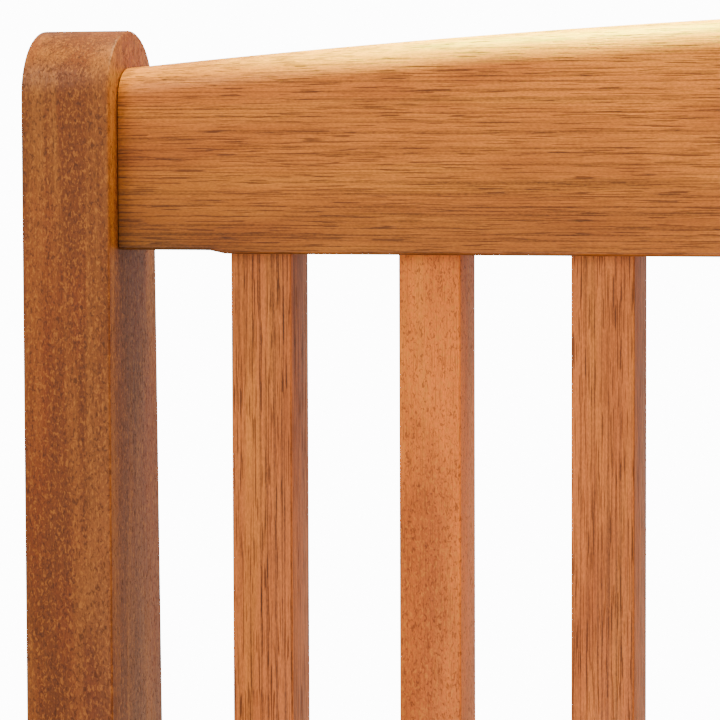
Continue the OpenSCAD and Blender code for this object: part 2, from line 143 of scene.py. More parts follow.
class SwingStageSettings(bpy.types.PropertyGroup):
    """Camera, floor and lights."""
    lens: bpy.props.FloatProperty(
        name="Lens", description="Focal length of the camera", default=178.2, unit="CAMERA")
    across: length("Across", "Camera's distance to the right of the left post's outer face", 0.637)
    away: length("Away", "Camera's distance in front of the posts' face", 1.5525)
    below_top: length("Below top", "Camera's distance under the posts' top, along the back", 0.0488)
    turn: angle("Turn", "Turn of the camera to the left", 16.894)
    tip: angle("Tip", "Downward tip of the camera from square to the back", 3.637)
    roll: angle("Roll", "Roll of the camera", 0.207)
    floor_drop: length("Floor drop", "Height of the bench over the floor", 0.36)
    floor_radius: length("Floor radius", "Radius of the round floor", 2.0)
    backdrop: bpy.props.FloatProperty(
        name="Backdrop", description="Brightness of the white backdrop", default=13.0)
    fill: bpy.props.FloatProperty(
        name="Fill", description="Brightness of the even studio light", default=0.72)
    strip: bpy.props.FloatProperty(
        name="Strip", description="Power of the strip light over the top rail, in watts", default=12)


class SwingWoodSettings(bpy.types.PropertyGroup):
    """Shapes and colours of the wooden pieces."""
    recline: angle("Recline", "Backward lean of the back", 12)
    rake: angle("Rake", "Backward slope of the seat", 3.5)
    post_depth: length("Post depth", "Depth of a back post under its round top", 62 * MM)
    edge: length("Small edge", "Radius of the eased edges of posts", 1.3 * MM)
    slat_edge: length("Slat edge", "Radius of the eased edges of back slats", 1.0 * MM)
    soft_edge: length("Soft edge", "Radius of the round edges of legs, arms and seat slats", 3 * MM)
    rail_mid: length("Rail middle", "Height of the top rail at its middle", 112.3 * MM)
    rail_end: length("Rail end", "Height of the top rail at the posts", 86.6 * MM)
    rail_depth: length("Rail depth", "Thickness of the top rail", 38 * MM)
    rail_back: length("Rail setback", "Distance of the rail's face behind the posts' face", 11.7 * MM)
    rail_under: length("Rail underside", "Height of the posts' top over the rail's underside", 104.4 * MM)
    rail_round: length("Rail round", "Radius of the top rail's upper edges", 15 * MM)
    rail_ease: length("Rail ease", "Rise of the rail's underside between the posts and the slats", 1.6 * MM)
    end_ease: length("End ease", "Chamfer of the top rail's ends, where they meet the posts", 0.7 * MM)
    ease_run: length("Ease run", "Length over which the rail's underside rises", 10 * MM)
    slat_width: length("Slat width", "Width of a back slat", 29.4 * MM)
    slat_depth: length("Slat depth", "Depth of a back slat", 26.7 * MM)
    slat_back: length("Slat setback", "Distance of the slats' faces behind the posts' face", 17.5 * MM)
    post_colour: colour("Post", "Reddish brown heartwood of posts and legs", "#723b17")
    post_pale_colour: colour("Post flecks", "Golden flecks of the posts and legs", "#bd772f")
    rail_colour: colour("Rail", "Orange brown of the rails and arms", "#cb7627")
    slat_colour: colour("Plain slats", "Orange brown of the straight-grained slats", "#ca7233")
    figured_colour: colour("Figured slats", "Brighter orange of the flecked slats", "#dd741f")
    red_colour: colour("Red heart", "Reddish clouds in the heartwood", "#8a4018")
    pale_colour: colour("Pale bands", "Golden bands of the grain", "#d98a2a")
    pore_colour: colour("Pores", "Dark open pores", "#3c1a0a")


class SwingSteelSettings(bpy.types.PropertyGroup):
    """Sizes and colours of the metal pieces."""
    wire: length("Wire", "Wire diameter of the chain", 5 * MM)
    link_width: length("Link width", "Inner width of a chain link", 10 * MM)
    gap: length("Gap", "Play between touching links", 0.2 * MM)
    ring_radius: length("Ring radius", "Radius of the rings to the middle of the wire", 22 * MM)
    ring_wire: length("Ring wire", "Radius of the rings' wire", 4 * MM)
    swing_wire: length("Swing link wire", "Radius of the swing links' wire", 3 * MM)
    eye_radius: length("Eye radius", "Radius of an eye bolt's ring to the middle of the wire", 12 * MM)
    eye_wire: length("Eye wire", "Radius of an eye bolt's wire and shank", 4 * MM)
    galvanised: colour("Galvanised", "Zinc coat of the chains", "#9fa3a6")
    plated: colour("Plated", "Bright zinc plating of the bolts", "#b9bcc0")
    coated: colour("Coated", "Black powder coat of the brackets", "#1b1c1e")


# ---------- small tools ----------

def add(tree, kind, inputs=None, **settings):
    """Adds a node, sets its properties, and sets or links its inputs.

    A node given as an input stands for its first output, and a list is linked one by one.
    """
    node = tree.nodes.new(kind)
    for key, value in settings.items():
        setattr(node, key, value)
    for key, value in (inputs or {}).items():
        for item in value if isinstance(value, list) else [value]:
            source = item.outputs[0] if isinstance(item, bpy.types.Node) else item
            if isinstance(source, bpy.types.NodeSocket):
                tree.links.new(source, node.inputs[key])
            else:
                node.inputs[key].default_value = source
    return node


def material(name, base, metallic, roughness):
    """Starts a material and gives its tree and its surface shader."""
    made = bpy.data.materials.new(name)
    made.use_nodes = True
    tree = made.node_tree
    shader = tree.nodes["Principled BSDF"]
    shader.inputs["Base Color"].default_value = base
    shader.inputs["Metallic"].default_value = metallic
    shader.inputs["Roughness"].default_value = roughness
    return made, tree, shader


def shade(obj, angle_limit=35):
    """Shades an object smooth, with edges over the angle left sharp."""
    obj.data.shade_smooth()
    obj.data.set_sharp_from_angle(angle=math.radians(angle_limit))


def new_object(name, mesh):
    obj = bpy.data.objects.new(name, mesh)
    bpy.context.scene.collection.objects.link(obj)
    return obj


def skin(mesh, rings):
    """Adds the faces between rings of vertices; a ring of one vertex is a pole."""
    for a, b in zip(rings, rings[1:]):
        steps = max(len(a), len(b))
        for i in range(steps):
            j = (i + 1) % steps
            corners = (a[i % len(a)], a[j % len(a)], b[j % len(b)], b[i % len(b)])
            mesh.faces.new(list(dict.fromkeys(corners)))


def capped_skin(mesh, rings):
    skin(mesh, rings)
    mesh.faces.new(rings[0])
    mesh.faces.new(rings[-1])


def built_object(name, build):
    """Makes an object from a function that fills a mesh."""
    mesh = bmesh.new()
    build(mesh)
    bmesh.ops.recalc_face_normals(mesh, faces=mesh.faces)
    data = bpy.data.meshes.new(name)
    mesh.to_mesh(data)
    mesh.free()
    obj = new_object(name, data)
    shade(obj)
    return obj


def flatten(obj):
    """Turns an object with its modifiers to a plain mesh."""
    graph = bpy.context.evaluated_depsgraph_get()
    mesh = bpy.data.meshes.new_from_object(obj.evaluated_get(graph))
    obj.modifiers.clear()
    obj.data = mesh
    mesh.name = obj.name
    return obj


def combined(obj, operation, build):
    """Joins a simple shape to a piece, or cuts it out, and leaves one closed skin."""
    tool = built_object("tool", build)
    change = obj.modifiers.new("Shape", "BOOLEAN")
    change.operation = operation
    change.object = tool
    flatten(obj)
    bpy.data.objects.remove(tool)
    return obj


def hand_over(obj, body, nodes, coat=None):
    """Gives a finished piece its material and body, and hides the CAD nodes that it stands for."""
    if coat:
        obj.data.materials.clear()
        obj.data.materials.append(coat)
    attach(obj, body)
    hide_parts(*nodes)
    return obj


# ---------- materials ----------

def acacia(name, plain, figured, gold, settings):
    """Oiled acacia, planed and sanded: open pores, interlocked grain, satin oil sheen.

    Reads two attributes: grain, the place in a board with Z along it, and board, which holds the
    board's tone, its share of flecked figure and its place in the tree.
    """
    plain, figured = (*plain, 1.0), (*figured, 1.0)
    made, tree, shader = material(name, plain, 0.0, 0.42)
    grain = add(tree, "ShaderNodeAttribute", attribute_name="grain").outputs["Vector"]
    board = add(tree, "ShaderNodeAttribute", attribute_name="board").outputs["Vector"]
    tone, fleck_share, tree_place = add(tree, "ShaderNodeSeparateXYZ", {0: board}).outputs
    shift = add(tree, "ShaderNodeCombineXYZ", {0: tree_place, 1: tree_place, 2: tree_place})
    place = add(tree, "ShaderNodeVectorMath", {0: grain, 1: shift}, operation="ADD")

    # Noises whose grains measure across by along the board, with their detail and distortion.
    noises = []
    for across, along, detail, distortion in (
            (11 * MM, 240 * MM, 4, 0.5), (38 * MM, 150 * MM, 3, 0.8), (1.1 * MM, 220 * MM, 3, 0.2),
            (0.8 * MM, 26 * MM, 3, 0.0), (0.6 * MM, 1.8 * MM, 2, 0.0), (0.46 * MM, 16 * MM, 0, 0.05),
            (1.2 * MM, 2.2 * MM, 2, 0.9)):
        mapping = add(tree, "ShaderNodeMapping", {
            "Vector": place, "Scale": (1 / across, 1 / across, 1 / along)})
        noises.append(add(tree, "ShaderNodeTexNoise", {
            "Vector": mapping, "Scale": 1.0, "Detail": detail, "Distortion": distortion}))
    bands, clouds, stripes, fibres, silk, pores, flecks = noises

    pale, red = (*gold, 1.0), (*settings.red_colour, 1.0)
    body = add(tree, MIX, {0: fleck_share, 6: plain, 7: figured}, data_type="RGBA").outputs[2]
    share = add(tree, SPAN, {0: bands, 1: 0.48, 2: 0.75, 4: 0.55})
    body = add(tree, MIX, {0: share, 6: body, 7: pale}, data_type="RGBA").outputs[2]
    share = add(tree, SPAN, {0: clouds, 1: 0.46, 2: 0.7, 4: 0.6})
    body = add(tree, MIX, {0: share, 6: body, 7: red}, data_type="RGBA").outputs[2]
    striped = add(tree, MATHS, {0: 1.0, 1: fleck_share}, operation="SUBTRACT")
    stripe = add(tree, SPAN, {0: stripes, 1: 0.49, 2: 0.39, 4: 0.46})
    stripe = add(tree, MATHS, {0: stripe, 1: striped}, operation="MULTIPLY")
    fibre_share = add(tree, MATHS, {0: fleck_share, 1: -0.14, 2: 0.28}, operation="MULTIPLY_ADD")
    fibre_level = add(tree, SPAN, {0: fibres, 1: 0.3, 2: 0.7, 3: -0.5, 4: 0.5})
    level = add(tree, MATHS, {0: fibre_level, 1: fibre_share, 2: 1.0}, operation="MULTIPLY_ADD")
    silk_level = add(tree, SPAN, {0: silk, 1: 0.3, 2: 0.7, 3: -0.5, 4: 0.5})
    level = add(tree, MATHS, {0: silk_level, 1: 0.34, 2: level}, operation="MULTIPLY_ADD")
    level = add(tree, MATHS, {0: level, 1: stripe}, operation="SUBTRACT")
    level = add(tree, MATHS, {0: level, 1: tone}, operation="MULTIPLY")
    body = add(tree, "ShaderNodeVectorMath", {0: body, "Scale": level}, operation="SCALE")
    fleck_light = add(tree, SPAN, {0: flecks, 1: 0.55, 2: 0.66, 4: 0.5})
    fleck_light = add(tree, MATHS, {0: fleck_light, 1: fleck_share}, operation="MULTIPLY")
    body = add(tree, MIX, {0: fleck_light, 6: body, 7: pale}, data_type="RGBA").outputs[2]
    fleck_dark = add(tree, SPAN, {0: flecks, 1: 0.44, 2: 0.34, 4: 0.6})
    fleck_dark = add(tree, MATHS, {0: fleck_dark, 1: fleck_share}, operation="MULTIPLY")
    open_share = add(tree, MATHS, {0: fleck_share, 1: -0.5, 2: 0.74}, operation="MULTIPLY_ADD")
    open_pores = add(tree, SPAN, {0: pores, 1: 0.635, 2: 0.685})
    open_pores = add(tree, MATHS, {0: open_pores, 1: open_share}, operation="MULTIPLY")
    dark = add(tree, MATHS, {0: open_pores, 1: fleck_dark}, operation="MAXIMUM")
    body = add(tree, MIX, {0: dark, 6: body, 7: (*settings.pore_colour, 1.0)}, data_type="RGBA").outputs[2]
    tree.links.new(body, shader.inputs["Base Color"])

    rough = add(tree, SPAN, {0: fibres, 1: 0.3, 2: 0.7, 3: 0.36, 4: 0.48})
    rough = add(tree, MATHS, {0: dark, 1: 0.3, 2: rough}, operation="MULTIPLY_ADD")
    tree.links.new(rough.outputs[0], shader.inputs["Roughness"])
    shader.inputs["Specular IOR Level"].default_value = 0.3
    height = add(tree, MATHS, {0: fibres, 1: 0.35}, operation="MULTIPLY")
    height = add(tree, MATHS, {0: dark, 1: -1.0, 2: height}, operation="MULTIPLY_ADD")
    bump = add(tree, "ShaderNodeBump", {"Height": height, "Strength": 0.4, "Distance": 0.25 * MM})
    tree.links.new(bump.outputs[0], shader.inputs["Normal"])
    return made


def zinc(name, base, spangle, roughness):
    """Zinc on steel: dipped zinc has crystals of a few millimetres, plated zinc is even and bright."""
    made, tree, shader = material(name, (*base, 1.0), 1.0, roughness)
    place = add(tree, "ShaderNodeTexCoord").outputs["Object"]
    crystals = add(tree, "ShaderNodeTexVoronoi", {"Vector": place, "Scale": 1 / spangle})
    grey = add(tree, "ShaderNodeSeparateColor", {0: crystals.outputs["Color"]})
    stain = add(tree, "ShaderNodeTexNoise", {"Vector": place, "Scale": 60.0, "Detail": 4.0})
    crystal_level = add(tree, SPAN, {0: grey, 3: 0.82, 4: 1.0})
    stain_level = add(tree, SPAN, {0: stain, 1: 0.3, 2: 0.75, 3: 1.0, 4: 0.72})
    level = add(tree, MATHS, {0: crystal_level, 1: stain_level}, operation="MULTIPLY")
    tinted = add(tree, "ShaderNodeVectorMath", {0: (*base,), "Scale": level}, operation="SCALE")
    tree.links.new(tinted.outputs[0], shader.inputs["Base Color"])
    rough = add(tree, SPAN, {0: stain, 1: 0.3, 2: 0.7, 3: roughness - 0.08, 4: roughness + 0.14})
    tree.links.new(rough.outputs[0], shader.inputs["Roughness"])
    bump = add(tree, "ShaderNodeBump", {"Height": stain, "Strength": 0.2, "Distance": 0.2 * MM})
    tree.links.new(bump.outputs[0], shader.inputs["Normal"])
    return made


def powder_coat(name, base):
    """Black powder coat, baked on: a fine orange-peel skin with a low sheen."""
    made, tree, shader = material(name, (*base, 1.0), 0.0, 0.5)
    place = add(tree, "ShaderNodeTexCoord").outputs["Object"]
    peel = add(tree, "ShaderNodeTexNoise", {"Vector": place, "Scale": 900.0, "Detail": 2.0})
    dust = add(tree, "ShaderNodeTexNoise", {"Vector": place, "Scale": 45.0, "Detail": 5.0})
    rough = add(tree, SPAN, {0: dust, 1: 0.35, 2: 0.7, 3: 0.42, 4: 0.62})
    tree.links.new(rough.outputs[0], shader.inputs["Roughness"])
    bump = add(tree, "ShaderNodeBump", {"Height": peel, "Strength": 0.35, "Distance": 0.15 * MM})
    tree.links.new(bump.outputs[0], shader.inputs["Normal"])
    return made


def coat(key):
    """The finished material of that key, made once."""
    scene = bpy.context.scene
    wood, steel = scene.swing_wood, scene.swing_steel
    recipes = {
        "post": lambda: acacia(
            "oiled_acacia_post", wood.post_colour, wood.post_colour, wood.post_pale_colour, wood),
        "rail": lambda: acacia(
            "oiled_acacia_rail", wood.rail_colour, wood.rail_colour, wood.pale_colour, wood),
        "slat": lambda: acacia(
            "oiled_acacia_slat", wood.slat_colour, wood.figured_colour, wood.pale_colour, wood),
        "chain": lambda: zinc("hot_dip_galvanised_steel", steel.galvanised, 3 * MM, 0.42),
        "bolt": lambda: zinc("zinc_plated_steel", steel.plated, 9 * MM, 0.27),
        "bracket": lambda: powder_coat("black_powder_coat", steel.coated),
    }
    name = "swing_" + key
    if name not in scene:
        scene[name] = recipes[key]()
    return scene[name]


# ---------- boards ----------

def grained(obj, to_board, tone, fleck, tree_place):
    """Stores the place in the board, with Z along the grain, and the board's own tone and figure."""
    mesh = obj.data
    grain = mesh.attributes.new("grain", "FLOAT_VECTOR", "POINT")
    board = mesh.attributes.new("board", "FLOAT_VECTOR", "POINT")
    for vertex in mesh.vertices:
        grain.data[vertex.index].vector = to_board @ vertex.co
        board.data[vertex.index].vector = (tone, fleck, tree_place)
    return obj


def extruded(name, outline, low, high):
    """Closed board of an outline of (a, b) points, with a third axis from low to high: (c, a, b)."""
    return built_object(name, lambda mesh: capped_skin(
        mesh, [[mesh.verts.new((c, a, b)) for a, b in outline] for c in (low, high)]))


def eased(obj, radius, segments=3, limit=30):
    """Rounds the edges of a board, and keeps its flat faces flat in the light."""
    obj.modifiers.new("Edges", "BEVEL")
    edges = obj.modifiers["Edges"]
    edges.width = radius
    edges.segments = segments
    edges.limit_method = "ANGLE"
    edges.angle_limit = math.radians(limit)
    shade(obj)
    obj.modifiers.new("Normals", "WEIGHTED_NORMAL").keep_sharp = True
    return flatten(obj)


def box_outline(low, high):
    return [(low[0], low[1]), (high[0], low[1]), (high[0], high[1]), (low[0], high[1])]


def arc(centre, radius, start, end, steps):
    """Points of an arc, angles in degrees."""
    turns = [math.radians(start + (end - start) * i / steps) for i in range(steps + 1)]
    return [(centre[0] + radius * math.cos(t), centre[1] + radius * math.sin(t)) for t in turns]


def back_matrix(wood):
    """From the back's own axes (X across, Y into the back, Z up a post) to the frame.

    Its origin is on the posts' face, at the height of their round tops' highest point.
    """
    lean = Matrix.Rotation(-wood.recline, 4, "X")
    half = wood.post_depth / 2
    middle = lean @ Vector((0, half, -half))
    round_centre_z = POST_HIGH.z - half
    round_centre_y = POST_HIGH.y - half
    return Matrix.Translation((0, round_centre_y - middle.y, round_centre_z - middle.z)) @ lean


LONG_X = Matrix(((0, 1, 0, 0), (0, 0, 1, 0), (1, 0, 0, 0), (0, 0, 0, 1)))
LONG_Y = Matrix(((1, 0, 0, 0), (0, 0, 1, 0), (0, 1, 0, 0), (0, 0, 0, 1)))


def bore_post(post, x, z):
    """Sinks the hole for the arm screw's head into the post's rear."""
    head_y = node_box("arm_screws")[1].y
    place = Matrix.Translation((x, head_y + 20 * MM, z)) @ Matrix.Rotation(math.pi / 2, 4, "X")
    combined(post, "DIFFERENCE", lambda mesh: bmesh.ops.create_cone(
        mesh, cap_ends=True, segments=32, radius1=5 * MM, radius2=5 * MM, depth=40 * MM, matrix=place))
    shade(post)


class SWING_OT_back_posts(bpy.types.Operator):
    """Makes the two back posts: straight face, deeper towards the foot, half-round top"""
    bl_idname = "swing.back_posts"
    bl_label = "Back posts"

    def execute(self, context):
        wood = context.scene.swing_wood
        to_frame = back_matrix(wood)
        to_back = to_frame.inverted()
        radius = wood.post_depth / 2
        low_y = to_frame @ Vector((0, 0, 0))
        foot_front = (POST_LOW.z - low_y.z) / math.cos(wood.recline)
        foot_depth = (POST_LOW.y - low_y.y - foot_front * math.sin(wood.recline)) / math.cos(wood.recline)
        depth = wood.post_depth - POST_TAPER * foot_front
        foot_back = foot_front + depth * math.tan(wood.recline)
        outline = [(0, foot_front + foot_depth), (depth, foot_back)]
        outline += arc((radius, -radius), radius, 0, 180, 40)
        for side, sign, tone, place in (("left", -1, 1.0, 1.3), ("right", 1, 0.97, 4.1)):
            name = f"{side}_back_post"
            low, high = node_box(name)
            post = extruded(name + "_wood", outline, low.x, high.x)
            post.data.transform(to_frame)
            post = eased(post, wood.edge)
            bore_post(post, (low.x + high.x) / 2, (ARM_LOW.z + ARM_HIGH.z) / 2)
            grained(post, to_back, tone, 1.0, place)
            hand_over(post, "bench", [name], coat("post"))
        return {"FINISHED"}


def rail_section(depth, low, high, top_round, low_round):
    """Section of the top rail as (y, z) points, round at the top, eased underneath."""
    points = arc((depth - low_round, low + low_round), low_round, -90, 0, 3)
    points += arc((depth - top_round, high - top_round), top_round, 0, 90, 12)
    points += arc((top_round, high - top_round), top_round, 90, 180, 12)
    points += arc((low_round, low + low_round), low_round, 180, 270, 3)
    return points


def underside_lift(wood, x):
    """How much higher the top rail's underside is between the outer slats and the posts."""
    slat_outer = max(abs(v) for v in (node_box("back_slat_1")[0].x, node_box("back_slat_1")[1].x))
    reach = min(1.0, max(0.0, (abs(x) - slat_outer) / wood.ease_run))
    return wood.rail_ease * reach * reach * (3 - 2 * reach)


def add_tenons(rail, long, y, z, thick, high):
    """Adds the tenons at both ends of a rail, centred on (y, z)."""
    place = Matrix.Translation((0, y, z)) @ Matrix.Diagonal((long, thick, high, 1))
    combined(rail, "UNION", lambda mesh: bmesh.ops.create_cube(mesh, size=1, matrix=place))
    shade(rail)


class SWING_OT_rails(bpy.types.Operator):
    """Makes the arched top rail and the lower back rail"""
    bl_idname = "swing.rails"
    bl_label = "Rails"

    def fill_top_rail(self, mesh, wood):
        """The top rail from post to post: an arch on top, chamfered ends and a lifted underside."""
        rise = wood.rail_mid - wood.rail_end
        arch = (INNER_HALF ** 2 + rise ** 2) / (2 * rise)
        stations = 320
        rings = []
        for i in range(stations + 1):
            x = INNER_HALF * (2 * i / stations - 1)
            if i in (1, stations - 1):
                x = math.copysign(INNER_HALF - wood.end_ease, x)
            ease = wood.end_ease if i in (0, stations) else 0
            bottom = underside_lift(wood, x) - wood.rail_under + ease
            top = wood.rail_mid - wood.rail_under - arch + math.sqrt(arch ** 2 - x ** 2) - ease
            section = rail_section(wood.rail_depth - 2 * ease, bottom, top, wood.rail_round, 2 * MM)
            rings.append([mesh.verts.new((x, wood.rail_back + ease + y, z)) for y, z in section])
        capped_skin(mesh, rings)

    def paint_shade_on_top_rail(self, rail, wood, to_back):
        """Paints shade into the top rail's tone: darker downwards and towards its left end, with a painted
        shadow line along its lower edge and ends.
        """
        tones = rail.data.attributes["board"].data
        for vertex in rail.data.vertices:
            place = to_back @ vertex.co
            below = min(1.0, max(0.0, -(place.z + wood.rail_round) / (wood.rail_under - wood.rail_round)))
            from_left = place.x + INNER_HALF
            inwards = min(1.0, from_left / (0.6 * INNER_HALF))
            # Painted shade: the value named heart darkens the rail downwards, as the light from above falls
            # off, more so towards the left end and most beside the post. The top of the left part is
            # painted lighter.
            heart = 0.72 - 0.37 * inwards + 0.26 * max(0.0, 1.0 - from_left / (70 * MM))
            # Painted shadow: a dark line within 1.3 mm of the rail's lower edge and its ends, where it
            # meets the slats and the posts.
            above_edge = place.z + wood.rail_under - underside_lift(wood, place.x)
            from_edge = max(0.0, min(above_edge, INNER_HALF - abs(place.x)))
            painted_joint_shadow = 0.5 * max(0.0, 1.0 - from_edge / (1.3 * MM))
            tones[vertex.index].vector.x = (1.24 - 0.1 * inwards - heart * below) * (1.0 - painted_joint_shadow)

    def execute(self, context):
        wood = context.scene.swing_wood
        to_frame = back_matrix(wood)
        to_back = to_frame.inverted()
        to_board = LONG_X @ to_back
        top_rail = built_object("top_rail_wood", lambda mesh: self.fill_top_rail(mesh, wood))
        tenon_z = 43.3 * MM - wood.rail_under
        add_tenons(top_rail, node_size("top_rail").x, wood.rail_back + wood.rail_depth / 2, tenon_z,
                   18 * MM, 50 * MM)
        top_rail.modifiers.new("Normals", "WEIGHTED_NORMAL").keep_sharp = True
        flatten(top_rail)
        top_rail.data.transform(to_frame)
        grained(top_rail, to_board, 1.0, 0.12, 9.7)
        self.paint_shade_on_top_rail(top_rail, wood, to_back)
        bpy.data.collections[RAIL_LIGHT].objects.link(top_rail)
        hand_over(top_rail, "bench", ["top_rail"], coat("rail"))

        low, high = node_box("lower_back_rail")
        height, depth, back = 50 * MM, 30 * MM, 16 * MM
        origin = to_frame @ Vector((0, back, 0))
        bottom = (low.z - origin.z + depth * math.sin(wood.recline)) / math.cos(wood.recline)
        outline = box_outline((back, bottom), (back + depth, bottom + height))
        low_rail = extruded("lower_back_rail_wood", outline, -INNER_HALF, INNER_HALF)
        low_rail = eased(low_rail, wood.soft_edge, 4)
        add_tenons(low_rail, high.x - low.x, back + depth / 2, bottom + height / 2, 14 * MM, 30 * MM)
        low_rail.data.transform(to_frame)
        grained(low_rail, to_board, 0.96, 0.2, 6.4)
        hand_over(low_rail, "bench", ["lower_back_rail"], coat("rail"))
        return {"FINISHED"}


# ---------- rows of boards ----------

def tree_with(name, sockets):
    """A geometry node tree with named inputs; gives the tree, its input node and its output node."""
    tree = bpy.data.node_groups.new(name, "GeometryNodeTree")
    tree.interface.new_socket("Geometry", in_out="INPUT", socket_type="NodeSocketGeometry")
    for socket, kind in sockets.items():
        tree.interface.new_socket(socket, in_out="INPUT", socket_type="NodeSocket" + kind)
    tree.interface.new_socket("Geometry", in_out="OUTPUT", socket_type="NodeSocketGeometry")
    return tree, tree.nodes.new("NodeGroupInput"), tree.nodes.new("NodeGroupOutput")


def close_tree(tree, end, geometry, source):
    """Ends a tree: instances made real, then the material."""
    real = add(tree, "GeometryNodeRealizeInstances", {0: geometry})
    done = add(tree, "GeometryNodeSetMaterial", {"Geometry": real, "Material": source})
    tree.links.new(done.outputs[0], end.inputs[0])


def board_row_tree():
    """A round-edged board with a tenon at each end, stood on every point of a mesh, along Z."""
    tree, start, end = tree_with("Board row", {
        "Width": "Float", "Depth": "Float", "Length": "Float", "Edge": "Float",
        "Tenon Width": "Float", "Tenon Depth": "Float", "Tenon Length": "Float", "Material": "Material"})
    size = start.outputs
    outline = add(tree, "GeometryNodeCurvePrimitiveQuadrilateral", {
        "Width": size["Width"], "Height": size["Depth"]})
    outline = add(tree, "GeometryNodeFilletCurve", {
        "Curve": outline, "Radius": size["Edge"], "Count": 3}, mode="POLY")
    face = add(tree, "GeometryNodeFillCurve", {0: outline}, mode="NGONS")
    rise = add(tree, "ShaderNodeCombineXYZ", {2: size["Length"]})
    walls = add(tree, "GeometryNodeExtrudeMesh", {
        "Mesh": face, "Offset": rise, "Offset Scale": 1.0, "Individual": False})
    foot = add(tree, "GeometryNodeFlipFaces", {0: face})
    body = add(tree, "GeometryNodeJoinGeometry", {0: [walls, foot]})
    body = add(tree, "GeometryNodeMergeByDistance", {"Geometry": body, "Distance": 0.01 * MM})
    reach = add(tree, MATHS, {0: size["Tenon Length"], 1: 2.0, 2: size["Length"]}, operation="MULTIPLY_ADD")
    tenon_size = add(tree, "ShaderNodeCombineXYZ", {
        0: size["Tenon Width"], 1: size["Tenon Depth"], 2: reach})
    middle = add(tree, MATHS, {0: size["Length"], 1: 0.5}, operation="MULTIPLY")
    middle = add(tree, "ShaderNodeCombineXYZ", {2: middle})
    tenon = add(tree, "GeometryNodeMeshCube", {"Size": tenon_size})
    tenon = add(tree, "GeometryNodeTransform", {"Geometry": tenon, "Translation": middle})
    whole = add(tree, "GeometryNodeMeshBoolean", {"Mesh 2": [body, tenon]},
                operation="UNION", solver="EXACT")
    place = add(tree, "GeometryNodeInputPosition")
    marked = add(tree, "GeometryNodeStoreNamedAttribute", {
        "Geometry": whole, "Name": "grain", "Value": place}, data_type="FLOAT_VECTOR", domain="POINT")
    row = add(tree, "GeometryNodeInstanceOnPoints", {"Points": size["Geometry"], "Instance": marked})
    close_tree(tree, end, row, size["Material"])
    return tree


def run_tree(obj, tree, values):
    """Runs a tree on an object with the given inputs and turns the result to a plain mesh."""
    modifier = obj.modifiers.new(tree.name, "NODES")
    modifier.node_group = tree
    for socket in tree.interface.items_tree:
        if socket.in_out == "INPUT" and socket.name in values:
            modifier[socket.identifier] = values[socket.name]
    return flatten(obj)


def points_object(name, places, boards=None, turns=None):
    """A mesh of loose points, with each point's board values and turn."""
    mesh = bpy.data.meshes.new(name)
    mesh.from_pydata([tuple(p) for p in places], [], [])
    for key, rows in (("board", boards), ("turn", turns)):
        if rows:
            values = mesh.attributes.new(key, "FLOAT_VECTOR", "POINT").data
            for item, row in zip(values, rows):
                item.vector = row
    return new_object(name, mesh)


class SWING_OT_back_slats(bpy.types.Operator):
    """Makes the row of upright back slats"""
    bl_idname = "swing.back_slats"
    bl_label = "Back slats"

    def execute(self, context):
        wood = context.scene.swing_wood
        to_frame = back_matrix(wood)
        tenon, tenon_depth = 15 * MM, 12 * MM
        reach = (node_size("back_slat_1").z - tenon_depth * math.sin(wood.recline)) / math.cos(wood.recline)
        visible = reach - 2 * tenon
        bottom = -wood.rail_under - visible
        chance = random.Random(7)
        tree = board_row_tree()
        tones = [(0.93, 0.0), (1.08, 0.9), (1.0, 0.1)]
        while len(tones) < SLAT_COUNT:
            tones.append((chance.uniform(0.86, 1.1), chance.choice((0.0, 0.15, 0.8))))
        for i, (tone, fleck) in enumerate(tones):
            name = f"back_slat_{i + 1}"
            box_low, box_high = node_box(name)
            place = ((box_low.x + box_high.x) / 2, wood.slat_back + wood.slat_depth / 2, bottom)
            slat = points_object(name + "_wood", [place], [(tone, fleck, 3.7 * (i + 1))])
            run_tree(slat, tree, {
                "Width": wood.slat_width, "Depth": wood.slat_depth, "Length": visible,
                "Edge": wood.slat_edge, "Tenon Width": 18 * MM, "Tenon Depth": tenon_depth,
                "Tenon Length": tenon, "Material": coat("slat")})
            slat.data.transform(to_frame)
            shade(slat)
            hand_over(slat, "bench", [name])
        return {"FINISHED"}


class SWING_OT_seat_slats(bpy.types.Operator):
    """Makes the seat slats, each sloping back with the seat"""
    bl_idname = "swing.seat_slats"
    bl_label = "Seat slats"

    def execute(self, context):
        wood = context.scene.swing_wood
        chance = random.Random(11)
        tree = board_row_tree()
        thick = 18 * MM
        for i in range(SEAT_COUNT):
            name = f"seat_slat_{i + 1}"
            low, high = node_box(name)
            size, middle = high - low, (low + high) / 2
            width = (size.y - thick * math.sin(wood.rake)) / math.cos(wood.rake)
            board = (chance.uniform(0.86, 1.04), chance.choice((0.0, 0.1, 0.7)), 2.9 * (i + 9))
            slat = points_object(name + "_wood", [(0, 0, 0)], [board])
            run_tree(slat, tree, {
                "Width": thick, "Depth": width, "Length": size.x, "Edge": wood.soft_edge,
                "Tenon Width": thick / 2, "Tenon Depth": width / 2, "Tenon Length": -1 * MM,
                "Material": coat("slat")})
            lay = Matrix.Translation(middle) @ Matrix.Rotation(-wood.rake, 4, "X") \
                @ Matrix.Translation((-size.x / 2, 0, 0)) @ Matrix.Rotation(math.pi / 2, 4, "Y")
            slat.data.transform(lay)
            shade(slat)
            hand_over(slat, "bench", [name])
        return {"FINISHED"}


# ---------- legs, arms and seat frame ----------

